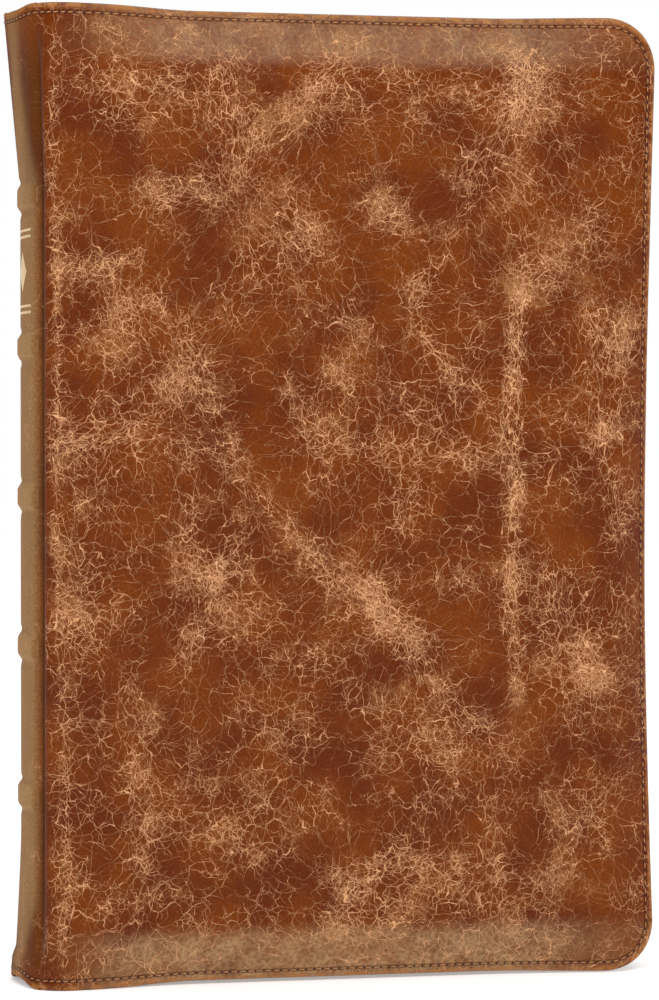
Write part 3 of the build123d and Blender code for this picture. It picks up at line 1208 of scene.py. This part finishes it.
def scatter(name, models, seats):
    """Copies of the models, one mesh, each at a seat of (model number, origin, along, across, up)."""
    points, faces, slots = [], [], []
    base = 0
    for number, origin, along, across, up in seats:
        model_points, model_faces = models[number]
        points.append(model_points @ np.array((along, across, up), float) + np.array(origin, float))
        faces.extend([[base + index for index in face] for face in model_faces])
        slots.extend([number] * len(model_faces))
        base += len(model_points)
    mesh = bpy.data.meshes.new(name)
    mesh.from_pydata(np.concatenate(points).tolist(), [], faces)
    mesh.polygons.foreach_set("material_index", slots)
    mesh.update()
    piece = bpy.data.objects.new(name, mesh)
    bpy.context.scene.collection.objects.link(piece)
    start_clean()
    bpy.context.view_layer.objects.active = piece
    piece.select_set(True)
    bpy.ops.object.shade_smooth()
    return piece


def seat(place, along, up, heading, depth, outside, slant):
    """Where a stitch sits on a surface, which way it runs and which way is out."""
    step = SEAT_STEP
    origin = place(along, up, depth)
    by_along = place(along + step, up, depth) - place(along - step, up, depth)
    by_up = place(along, up + step, depth) - place(along, up - step, depth)
    face_out = by_along.cross(by_up).normalized()
    if face_out.dot(outside) < 0:
        face_out.negate()
    run = (by_along.normalized() * heading[0] + by_up.normalized() * heading[1]).normalized()
    across = face_out.cross(run).normalized()
    leaned = (run * math.cos(slant) + across * math.sin(slant)).normalized()
    return origin, leaned, face_out.cross(leaned), face_out


def cover_seam(inset):
    """The line of the cover's stitching: points and headings along tail, fore-edge and head."""
    radius = shape().corner - inset
    start = 1.2 * MM
    straight = SHEET_WIDTH - inset - radius - start
    rise = COVER_HEIGHT - 2 * inset - 2 * radius
    arc = radius * math.pi / 2
    total = 2 * straight + rise + 2 * arc
    count = round(total / shape().stitch_pitch)
    corner_x = SHEET_WIDTH - inset - radius
    for index in range(count):
        run = (index + 0.5) * total / count
        if run < straight:
            yield start + run, inset, (1.0, 0.0)
            continue
        run -= straight
        if run < arc:
            angle = run / radius
            yield (corner_x + radius * math.sin(angle), inset + radius * (1 - math.cos(angle)),
                   (math.cos(angle), math.sin(angle)))
            continue
        run -= arc
        if run < rise:
            yield SHEET_WIDTH - inset, inset + radius + run, (0.0, 1.0)
            continue
        run -= rise
        top = COVER_HEIGHT - inset - radius
        if run < arc:
            angle = run / radius
            yield (corner_x + radius * math.cos(angle), top + radius * math.sin(angle),
                   (-math.sin(angle), math.cos(angle)))
            continue
        run -= arc
        yield corner_x - run, COVER_HEIGHT - inset, (-1.0, 0.0)


def seam_seats(place, line, depth, outside, pitch):
    """Seats for every stitch of a line, each with its needle hole."""
    seats = []
    for along, up, heading in line:
        seats.append((0, *seat(place, along, up, heading, depth, outside, STITCH_SLANT)))
        hole_along = along + heading[0] * pitch / 2
        hole_up = up + heading[1] * pitch / 2
        seats.append((1, *seat(place, hole_along, hole_up, heading, depth, outside, 0.0)))
    return seats


def thread_and_holes(piece):
    """The materials of a piece of stitching."""
    dress(piece, material("waxed_thread", waxed_thread), material("needle_hole", needle_hole))
    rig.slot(piece, "thread")


def cover_stitching(half, side, models):
    """The stitches on both faces of a cover."""
    def place(along, up, depth):
        return cover_place(side, along, up, depth)

    line = list(cover_seam(STITCH_INSET))
    pitch = shape().stitch_pitch
    outside = Vector((0.0, side, 0.0))
    seats = seam_seats(place, line, OUTER_SEAT, outside, pitch)
    seats += seam_seats(place, line, LINING_SEAT, -outside, pitch)
    piece = scatter(f"{half}_stitches", models, seats)
    thread_and_holes(piece)
    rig.replaces(piece, f"{half}_cover_stitching")
    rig.ride(piece, f"{half}_cover")


def spine_stitching(models):
    """The stitches that cross the spine at head and tail."""
    pitch = shape().stitch_pitch
    reach = SPINE_HALF + 0.6 * MM
    count = round(2 * reach / pitch)
    seats = []
    for up in (STITCH_INSET, COVER_HEIGHT - STITCH_INSET):
        line = [(-reach + (index + 0.5) * 2 * reach / count, up, (1.0, 0.0)) for index in range(count)]
        seats += seam_seats(spine_place, line, OUTER_SEAT, Vector((-1.0, 0.0, 0.0)), pitch)
    piece = scatter("spine_stitches", models, seats)
    thread_and_holes(piece)
    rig.replaces(piece, "spine_stitching_front", "spine_stitching_rear")
    bend_with_spine(piece)


# ------------------------------------------------------------------ the spine
# Half the width of the strip in the middle of the spine that bends as the book opens.
SPINE_BEND_REACH = 2.6 * MM


def bend_with_spine(piece):
    """Let a piece bend across the middle of the spine as the book opens."""
    start = Vector((0.0, SPINE_BEND_REACH, 0.0))
    end = Vector((0.0, -SPINE_BEND_REACH, 0.0))
    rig.blend(piece, "text_rear", "text_front", start, end)


def spine_block(name, half_width, low, high, outer, inner, columns, rows, rim, plain=False):
    """A sheet that follows the spine between two heights and two depths."""
    block = sheet_block(name, 2 * half_width, high - low, inner - outer, columns, rows, 0.0, 0.3)
    uv, edges = [], []
    thickness = inner - outer
    for vertex in block.data.vertices:
        along, up = vertex.co.x - half_width, low + vertex.co.y
        distance = min(vertex.co.y, high - low - vertex.co.y)
        uv.append((along, up - vertex.co.z))
        edges.append(distance / MM)
        vertex.co.z = -rounded_depth(-vertex.co.z, thickness, distance, rim)
    write_map(block, "sheet", uv)
    write_values(block, "edge", edges)
    place = plain_spine_place if plain else spine_place
    place_all(block, lambda along, up, depth: place(along - half_width, low + up, outer + depth))
    outward(block)
    return block


def plain_spine_place(along, height, depth):
    """A point under the spine leather, where bands and flare don't reach."""
    angle = along / SPINE_RADIUS
    radius = SPINE_RADIUS - depth
    return Vector((SPINE_CENTRE - radius * math.cos(angle), radius * math.sin(angle), height))


def spine_leather():
    """The leather of the spine, moulded over the bands and flared at head and tail."""
    rim = 0.42 * MM
    block = spine_block("spine_hide", SPINE_HALF, 0.0, COVER_HEIGHT, 0.0, SPINE_LEATHER, 48, 330, rim)
    heights = np.array([vertex.co.z for vertex in block.data.vertices]) / MM
    alongs = np.array([vertex.co.y for vertex in block.data.vertices]) / MM
    write_creases(block, np.column_stack((alongs + 400.0, heights)), 0.0)
    write_values(block, "dusty", np.zeros(len(heights)))
    # Painted shade in the groove beside the spine, and beside its creases below the head and above the tail.
    crevice = []
    for along, height in zip(alongs, heights):
        from_groove = 1.9 * MM + SPINE_HALF - abs(along) * MM
        crevice.append(max(shade_beside_joint(from_groove, height * MM), painted_spine_shade(along, height)))
    write_values(block, "crevice", crevice)
    # Tan from rubbing, with a painted highlight on the bands and painted shade beside the creases.
    write_values(block, "rubbed", [rubbed(along, height) for along, height in zip(alongs, heights)])
    dress(block, material("spine_leather", crackled_leather, True))
    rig.replaces(block, "spine_leather_front", "spine_leather_rear")
    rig.slot(block, "spine_leather")
    bend_with_spine(block)


def rubbed(along, height):
    """How far handling has turned the spine tan by rubbing, with a painted highlight on the bands; painted shade keeps
    it dark beside its creases, most at the ends.
    """
    ends = smooth(COVER_HEIGHT / MM - height, 12.0, 42.0) * smooth(height, 4.0, 20.0)
    beside = smooth(abs(along), mix(0.5, 8.5, ends), mix(7.0, 12.2, ends))
    on_band = min(abs(height - middle / MM) for middle in BAND_MIDDLES) < 2.6
    return (1.0 if on_band else mix(0.60, 0.76, ends)) * (1.0 - 0.9 * beside)


def painted_spine_shade(along, height):
    """How much painted shade lies beside the spine's creases, below the head and above the tail."""
    from_head = COVER_HEIGHT / MM - height
    head = smooth(from_head, 5.0, 16.0) * (1.0 - smooth(from_head, 24.0, 52.0))
    tail = smooth(height, 2.0, 7.0) * (1.0 - smooth(height, 10.0, 24.0))
    return (0.50 * head + 0.35 * tail) * smooth(abs(along), 1.5, 8.0)


def spine_inside():
    """The band cores and the liner under the leather."""
    for number, middle in enumerate(BAND_MIDDLES, start=1):
        core = spine_block(f"band_core_{number}", SPINE_HALF - 1.0 * MM, middle - BAND_HALF + 0.4 * MM,
                           middle + BAND_HALF - 0.4 * MM, SPINE_LEATHER - BAND_RISE * 0.9, SPINE_LEATHER,
                           24, 6, 0.3 * MM, plain=True)
        dress(core, material("band_core", plain_leather, (0.35, 0.22, 0.12), 0.5, 0.0001))
        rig.replaces(core, f"raised_band_{number}_front", f"raised_band_{number}_rear")
        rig.slot(core, "band_core")
        bend_with_spine(core)
    liner = spine_block("mull_liner", SPINE_HALF - 0.8 * MM, LINER_LOW.z, LINER_HIGH.z,
                        SPINE_LEATHER + 0.02 * MM, SPINE_LEATHER + 0.40 * MM, 48, 60, 0.1 * MM, plain=True)
    dress(liner, material("mull", mull))
    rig.replaces(liner, "spine_liner_front", "spine_liner_rear")
    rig.slot(liner, "liner")
    bend_with_spine(liner)


def headband(name, end):
    """A sewn band at one end of the block: a wound cord that follows the spine."""
    low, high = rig.box(f"headband_{end}_front")
    radius = (high.z - low.z) / 2
    length = -2 * low.y
    steps = 46
    start_clean()
    bpy.ops.mesh.primitive_circle_add(vertices=12, radius=radius, rotation=(math.pi / 2, 0.0, 0.0),
                                      location=(0.0, -length / 2, 0.0))
    cord = bpy.context.object
    cord.name = name
    bpy.ops.object.transform_apply(location=True, rotation=True, scale=False)
    bpy.ops.object.mode_set(mode="EDIT")
    bpy.ops.mesh.select_all(action="SELECT")
    for _ in range(steps):
        bpy.ops.mesh.extrude_region_move(TRANSFORM_OT_translate={"value": (0.0, length / steps, 0.0)})
    bpy.ops.mesh.select_all(action="DESELECT")
    bpy.ops.mesh.select_non_manifold()
    bpy.ops.mesh.edge_face_add()
    bpy.ops.object.mode_set(mode="OBJECT")
    uv = []
    for vertex in cord.data.vertices:
        turn = math.atan2(vertex.co.z, vertex.co.x)
        uv.append((vertex.co.y, turn * radius))
        wave = 1.0 - 0.08 * (0.5 + 0.5 * math.cos(vertex.co.y / (0.5 * MM) * math.pi))
        inner = SPINE_LEATHER + 0.5 * MM + radius - vertex.co.x * wave
        middle = (low.z + high.z) / 2 + vertex.co.z * wave
        vertex.co = plain_spine_place(vertex.co.y, middle, inner)
    write_map(cord, "sheet", uv)
    cord.data.update()
    outward(cord)
    bpy.ops.object.shade_smooth()
    dress(cord, material("wound_silk", wound_silk))
    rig.replaces(cord, f"headband_{end}_front", f"headband_{end}_rear")
    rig.slot(cord, "headband")
    bend_with_spine(cord)


def ornament():
    """Plain gilt tooling in the second panel: two pairs of rules and a lozenge."""
    upper, lower = BAND_MIDDLES[4], BAND_MIDDLES[3]
    middle = (upper + lower) / 2
    rules = [middle + offset * MM for offset in (-9.0, -7.6, 7.6, 9.0)]
    strips = [(7.6 * MM, height - 0.28 * MM, height + 0.28 * MM, False) for height in rules]
    strips.append((4.4 * MM, middle - 4.4 * MM, middle + 4.4 * MM, True))
    for number, (half_width, low, high, lozenge) in enumerate(strips, start=1):
        block = spine_block(f"gilt_tool_{number}", half_width, low, high, -0.05 * MM, 0.2 * MM,
                            24 if lozenge else 30, 24 if lozenge else 2, 0.05 * MM)
        if lozenge:
            pinch(block, middle, half_width)
        dress(block, material("gilt_tooling", gilt, 0.32))
        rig.slot(block, "spine_leather")
        bend_with_spine(block)


def pinch(block, middle, half_width):
    """Draw a square plate in to a lozenge that follows the spine."""
    for vertex in block.data.vertices:
        drop = abs(vertex.co.z - middle) / half_width
        angle = math.asin(max(-1.0, min(1.0, vertex.co.y / SPINE_RADIUS)))
        narrowed = angle * max(0.02, 1.0 - drop)
        radius = math.hypot(vertex.co.x - SPINE_CENTRE, vertex.co.y)
        vertex.co.x = SPINE_CENTRE - radius * math.cos(narrowed)
        vertex.co.y = radius * math.sin(narrowed)
    block.data.update()


# ------------------------------------------------------------------ the pages
# The share of a leaf's room that it fills, and its fore-edge corners' radius.
LEAF_SHARE = 0.88
LEAF_CORNER = 8.0 * MM
# How deep under the spine's face the folds lie, how clear they stay of the liner, and how unevenly.
FOLD_DEPTH = 1.4 * MM
FOLD_GAP = 0.05 * MM
LEAF_WOBBLE = 0.10 * MM


def leaf_model(low, high, thickness, corner):
    """One leaf with rounded fore-edge corners, standing upright."""
    start_clean()
    size = high - low
    bpy.ops.mesh.primitive_cube_add(size=1.0, location=(low + high) / 2, scale=(size.x, thickness, size.z))
    leaf = bpy.context.object
    bpy.ops.object.transform_apply(location=True, rotation=False, scale=True)
    bpy.ops.object.mode_set(mode="EDIT")
    bpy.ops.mesh.select_mode(type="EDGE")
    bpy.ops.object.mode_set(mode="OBJECT")
    middle_x = low.x + size.x / 2
    for face in leaf.data.polygons:
        face.select = False
    for edge in leaf.data.edges:
        ends = [leaf.data.vertices[index].co for index in edge.vertices]
        across = abs(ends[0].y - ends[1].y) > thickness / 2
        edge.select = across and min(end.x for end in ends) > middle_x
    for vertex in leaf.data.vertices:
        vertex.select = vertex.co.x > middle_x
    bpy.ops.object.mode_set(mode="EDIT")
    bpy.ops.mesh.bevel(offset=corner, segments=8, affect="EDGES", offset_type="OFFSET")
    bpy.ops.object.mode_set(mode="OBJECT")
    return leaf


def gathering(number, body):
    """A folded gathering: thin leaves that differ a little at their edges, gilt round the outside."""
    node = f"signature_{number:02d}"
    low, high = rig.box(node)
    count = shape().leaves
    pitch = (high.y - low.y) / count
    thickness = pitch * LEAF_SHARE
    leaf_low = Vector((low.x, -thickness / 2, low.z))
    leaf_high = Vector((high.x, thickness / 2, high.z))
    model = mesh_arrays(leaf_model(leaf_low, leaf_high, thickness, LEAF_CORNER))
    seats = []
    for index in range(count):
        middle = low.y + (index + 0.5) * pitch
        wobble = noise.noise(Vector((number * 3.7, index * 5.3, 0.5)))
        spine_x = SPINE_CENTRE - math.sqrt((SPINE_RADIUS - FOLD_DEPTH) ** 2 - middle**2)
        reach = spine_x - low.x + FOLD_GAP - LEAF_WOBBLE * abs(wobble)
        seats.append((0, (reach, middle, 0.0), (1, 0, 0), (0, 1, 0), (0, 0, 1)))
    piece = scatter(f"gathering_{number:02d}", [model], seats)
    start_clean()
    piece.select_set(True)
    bpy.context.view_layer.objects.active = piece
    bpy.ops.object.shade_smooth_by_angle(angle=math.radians(35))
    dress(piece, material("paper", paper, tuple(colours().page)), material("gilt_edge", gilt, 0.38))
    for face in piece.data.polygons:
        face.material_index = 0 if abs(face.normal.y) > 0.7 else 1
    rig.replaces(piece, node)
    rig.slot(piece, "pages")
    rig.ride(piece, body)


# ------------------------------------------------------------------ operators
class BIBLE_OT_stage(bpy.types.Operator):
    """Set the camera, the pale floor and the soft studio light"""

    bl_idname = "bible.stage"
    bl_label = "Stage"

    def execute(self, context):
        make_camera()
        make_floor()
        make_light()
        return {"FINISHED"}


class BIBLE_OT_covers(bpy.types.Operator):
    """Make both covers: leather, board and lining"""

    bl_idname = "bible.covers"
    bl_label = "Covers"

    def execute(self, context):
        for half, side, text_body in SIDES:
            cover_leather(half, side, text_body)
            cover_board(half, side)
            cover_lining(half, side)
        return {"FINISHED"}


class BIBLE_OT_stitching(bpy.types.Operator):
    """Sew the edge stitching round covers and spine"""

    bl_idname = "bible.stitching"
    bl_label = "Stitching"

    def execute(self, context):
        models = [mesh_arrays(stitch_model()), mesh_arrays(hole_model())]
        for half, side, _ in SIDES:
            cover_stitching(half, side, models)
        spine_stitching(models)
        return {"FINISHED"}


class BIBLE_OT_spine(bpy.types.Operator):
    """Make the spine: leather, bands, liner, headbands and tooling"""

    bl_idname = "bible.spine"
    bl_label = "Spine"

    def execute(self, context):
        spine_leather()
        spine_inside()
        headband("headband_top", "head")
        headband("headband_bottom", "tail")
        ornament()
        return {"FINISHED"}


class BIBLE_OT_pages(bpy.types.Operator):
    """Make the gatherings of pages and finish the endpapers"""

    bl_idname = "bible.pages"
    bl_label = "Pages"

    def execute(self, context):
        for body, nodes in frame["record"]["behaviour"]["bodies"].items():
            for node in nodes:
                if node.startswith("signature_"):
                    gathering(int(node[-2:]), body)
        for half in ("front", "back"):
            flyleaf = frame["nodes"][f"{half}_flyleaf"]
            flyleaf.data.materials.clear()
            dress(flyleaf, material("endpaper", paper, (0.78, 0.70, 0.55)))
        return {"FINISHED"}


class BIBLE_PT_panel(bpy.types.Panel):
    """The bible's steps and settings"""

    bl_label = "Bible"
    bl_space_type = "VIEW_3D"
    bl_region_type = "UI"
    bl_category = "Bible"

    def draw(self, context):
        for operator in OPERATORS:
            self.layout.operator(operator.bl_idname)
        for settings in (context.scene.bible_shape, context.scene.bible_colours):
            for name in settings.__annotations__:
                self.layout.prop(settings, name)


# ------------------------------------------------------------------ the stage
CAMERA_TURN = math.radians(-13.2)
CAMERA_DISTANCE = 0.86
CAMERA_RISE = 0.017
CAMERA_TARGET = Vector((-0.0014, 0.0, COVER_HEIGHT / 2 - 0.0010))
LENS = 137.9
LIGHT_PLACE = (0.05, -0.85, 0.95)
LIGHT_SIZE = (0.9, 0.32)
LIGHT_POWER = 10.2


def make_camera():
    """The camera: a long lens at mid height, turned a little towards the spine."""
    back = Vector((math.sin(CAMERA_TURN), -math.cos(CAMERA_TURN), CAMERA_RISE))
    lens = bpy.data.cameras.new("camera")
    lens.lens = LENS
    lens.sensor_width = 36.0
    lens.clip_end = 20.0
    camera = bpy.data.objects.new("camera", lens)
    camera.location = CAMERA_TARGET + back * CAMERA_DISTANCE
    camera.rotation_euler = (-back).to_track_quat("-Z", "Y").to_euler()
    bpy.context.scene.collection.objects.link(camera)
    bpy.context.scene.camera = camera


def make_floor():
    """A large flat pale floor that glows faintly."""
    start_clean()
    bpy.ops.mesh.primitive_plane_add(size=16.0, location=(0.0, 0.0, 0.0))
    floor = bpy.context.object
    floor.name = "floor"
    bpy.ops.object.transform_apply(location=True, rotation=False, scale=False)
    shader = Shader("pale_floor")
    shader.set(Base_Color=(0.86, 0.86, 0.86), Roughness=0.9,
               Emission_Color=(1.0, 1.0, 1.0), Emission_Strength=0.34)
    dress(floor, shader.material)
    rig.stage(floor)


def make_light():
    """A white room behind and above, dim straight in front, and one large soft light high in front."""
    scene = bpy.context.scene
    world = bpy.data.worlds.new("studio")
    scene.world = world
    world.use_nodes = True
    tree = world.node_tree
    heading = tree.nodes.new("ShaderNodeTexCoord")
    parts = tree.nodes.new("ShaderNodeSeparateXYZ")
    tree.links.new(heading.outputs["Generated"], parts.inputs[0])
    behind = world_ramp(tree, parts.outputs["Y"], -0.30, 0.15, 0.14, 1.0)
    above = world_ramp(tree, parts.outputs["Z"], 0.30, 0.62, 0.0, 0.60)
    brighter = tree.nodes.new("ShaderNodeMath")
    brighter.operation = "MAXIMUM"
    tree.links.new(behind, brighter.inputs[0])
    tree.links.new(above, brighter.inputs[1])
    tree.links.new(brighter.outputs[0], tree.nodes["Background"].inputs["Strength"])
    tree.nodes["Background"].inputs["Color"].default_value = (1.0, 1.0, 1.0, 1.0)
    scene.view_settings.view_transform = "Standard"
    soft_light("high_front", LIGHT_PLACE, LIGHT_SIZE, LIGHT_POWER)


def world_ramp(tree, value, low, high, start, end):
    """An eased turn in the brightness of the room."""
    node = tree.nodes.new("ShaderNodeMapRange")
    node.interpolation_type = "SMOOTHSTEP"
    tree.links.new(value, node.inputs["Value"])
    for name, given in (("From Min", low), ("From Max", high), ("To Min", start), ("To Max", end)):
        node.inputs[name].default_value = given
    return node.outputs[0]


def soft_light(name, place, size, power):
    """A large rectangular light turned to the middle of the book."""
    light = bpy.data.lights.new(name, "AREA")
    light.shape = "RECTANGLE"
    light.size, light.size_y = size
    light.energy = power
    lamp = bpy.data.objects.new(name, light)
    lamp.location = place
    towards = Vector((0.0, 0.0, COVER_HEIGHT / 2)) - Vector(place)
    lamp.rotation_euler = towards.to_track_quat("-Z", "Y").to_euler()
    bpy.context.scene.collection.objects.link(lamp)


# ------------------------------------------------------------------ running
OPERATORS = (BIBLE_OT_stage, BIBLE_OT_covers, BIBLE_OT_stitching, BIBLE_OT_spine, BIBLE_OT_pages)
CLASSES = (BibleShape, BibleColours, *OPERATORS, BIBLE_PT_panel)


def register():
    for each in CLASSES:
        bpy.utils.register_class(each)
    bpy.types.Scene.bible_shape = PointerProperty(type=BibleShape)
    bpy.types.Scene.bible_colours = PointerProperty(type=BibleColours)


def unregister():
    del bpy.types.Scene.bible_colours
    del bpy.types.Scene.bible_shape
    for each in reversed(CLASSES):
        bpy.utils.unregister_class(each)


def main():
    register()
    bpy.ops.bible.stage()
    bpy.ops.bible.covers()
    bpy.ops.bible.stitching()
    bpy.ops.bible.spine()
    bpy.ops.bible.pages()
    low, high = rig.bounds()
    with open(SIZE_FILE, "w") as file:
        json.dump({"cad": [list(CAD_LOW), list(CAD_HIGH)], "visual": [list(low), list(high)]}, file)


if __name__ == "__main__":
    main()
